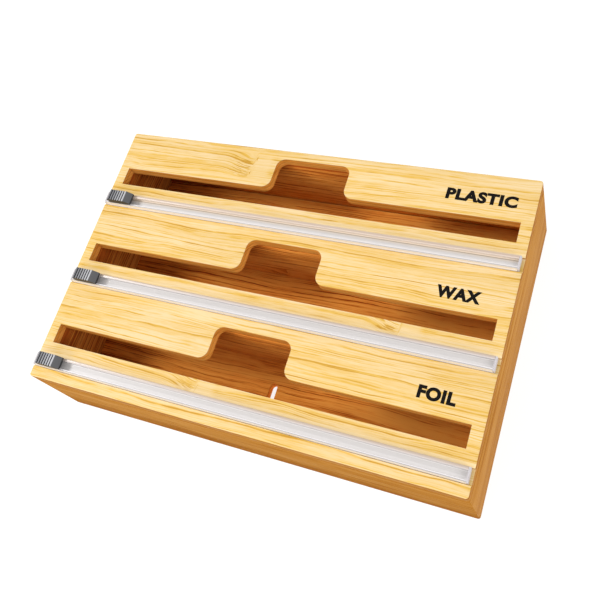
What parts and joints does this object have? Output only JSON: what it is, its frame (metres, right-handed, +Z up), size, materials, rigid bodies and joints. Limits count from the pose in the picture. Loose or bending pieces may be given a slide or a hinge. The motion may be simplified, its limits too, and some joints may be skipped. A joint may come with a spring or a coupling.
{
  "type": "kitchen wrap dispenser",
  "caption": "Hinged bamboo box for rolls of plastic wrap, waxed paper and foil, with a film slot, a finger notch and a slide cutter on a rail for each roll.",
  "frame": {"origin": "centre of the box's underside, on the surface it rests on", "axes": "+X along the rolls, from the parked slide cutters to the far end of their rails; +Y to the hinge side; +Z up"},
  "size_m": [0.33, 0.2198, 0.0795],
  "materials": {
    "bamboo_lid": "fine sanded, clear matt lacquer",
    "bamboo_case": "sanded, clear matt lacquer",
    "rail_plastic": "milky, glossy, extruded",
    "grip_plastic": "charcoal, moulded, satin",
    "blade_steel": "ground",
    "hinge_nickel": "satin nickel plate",
    "magnet_nickel": "bright nickel plate",
    "tape": "foam tape"
  },
  "bodies": {
    "case": {"back_wall": "bamboo_case", "bottom_panel": "bamboo_case", "case_magnet_left": "magnet_nickel", "case_magnet_right": "magnet_nickel", "divider_front": "bamboo_case", "divider_rear": "bamboo_case", "front_wall": "bamboo_case", "hinge_leaf_case_left": "hinge_nickel", "hinge_leaf_case_right": "hinge_nickel", "hinge_pin_left": "hinge_nickel", "hinge_pin_right": "hinge_nickel", "hinge_screw_case_left_inner": "hinge_nickel", "hinge_screw_case_left_outer": "hinge_nickel", "hinge_screw_case_right_inner": "hinge_nickel", "hinge_screw_case_right_outer": "hinge_nickel", "left_wall": "bamboo_case", "right_wall": "bamboo_case"},
    "lid": {"cutter_rail_foil": "rail_plastic", "cutter_rail_plastic": "rail_plastic", "cutter_rail_wax": "rail_plastic", "hinge_leaf_lid_left": "hinge_nickel", "hinge_leaf_lid_right": "hinge_nickel", "hinge_screw_lid_left_inner": "hinge_nickel", "hinge_screw_lid_left_outer": "hinge_nickel", "hinge_screw_lid_right_inner": "hinge_nickel", "hinge_screw_lid_right_outer": "hinge_nickel", "lid_magnet_left": "magnet_nickel", "lid_magnet_right": "magnet_nickel", "lid_panel": "bamboo_lid", "rail_plug_left_foil": "rail_plastic", "rail_plug_left_plastic": "rail_plastic", "rail_plug_left_wax": "rail_plastic", "rail_plug_right_foil": "rail_plastic", "rail_plug_right_plastic": "rail_plastic", "rail_plug_right_wax": "rail_plastic", "rail_tape_foil": "tape", "rail_tape_plastic": "tape", "rail_tape_wax": "tape"},
    "slider_foil": {"slider_blade_foil": "blade_steel", "slider_foot_foil": "grip_plastic", "slider_grip_foil": "grip_plastic"},
    "slider_wax": {"slider_blade_wax": "blade_steel", "slider_foot_wax": "grip_plastic", "slider_grip_wax": "grip_plastic"},
    "slider_plastic": {"slider_blade_plastic": "blade_steel", "slider_foot_plastic": "grip_plastic", "slider_grip_plastic": "grip_plastic"}
  },
  "joints": [
    {"name": "lid_hinge", "type": "hinge", "parent": "case", "child": "lid", "pos_m": [0, 0.11005, 0.06135], "axis": [-1, 0, 0], "range_deg": [0, 105]},
    {"name": "foil_slide", "type": "slide", "parent": "lid", "child": "slider_foil", "axis": [1, 0, 0], "range_m": [0, 0.301]},
    {"name": "wax_slide", "type": "slide", "parent": "lid", "child": "slider_wax", "axis": [1, 0, 0], "range_m": [0, 0.301]},
    {"name": "plastic_slide", "type": "slide", "parent": "lid", "child": "slider_plastic", "axis": [1, 0, 0], "range_m": [0, 0.301]}
  ]
}
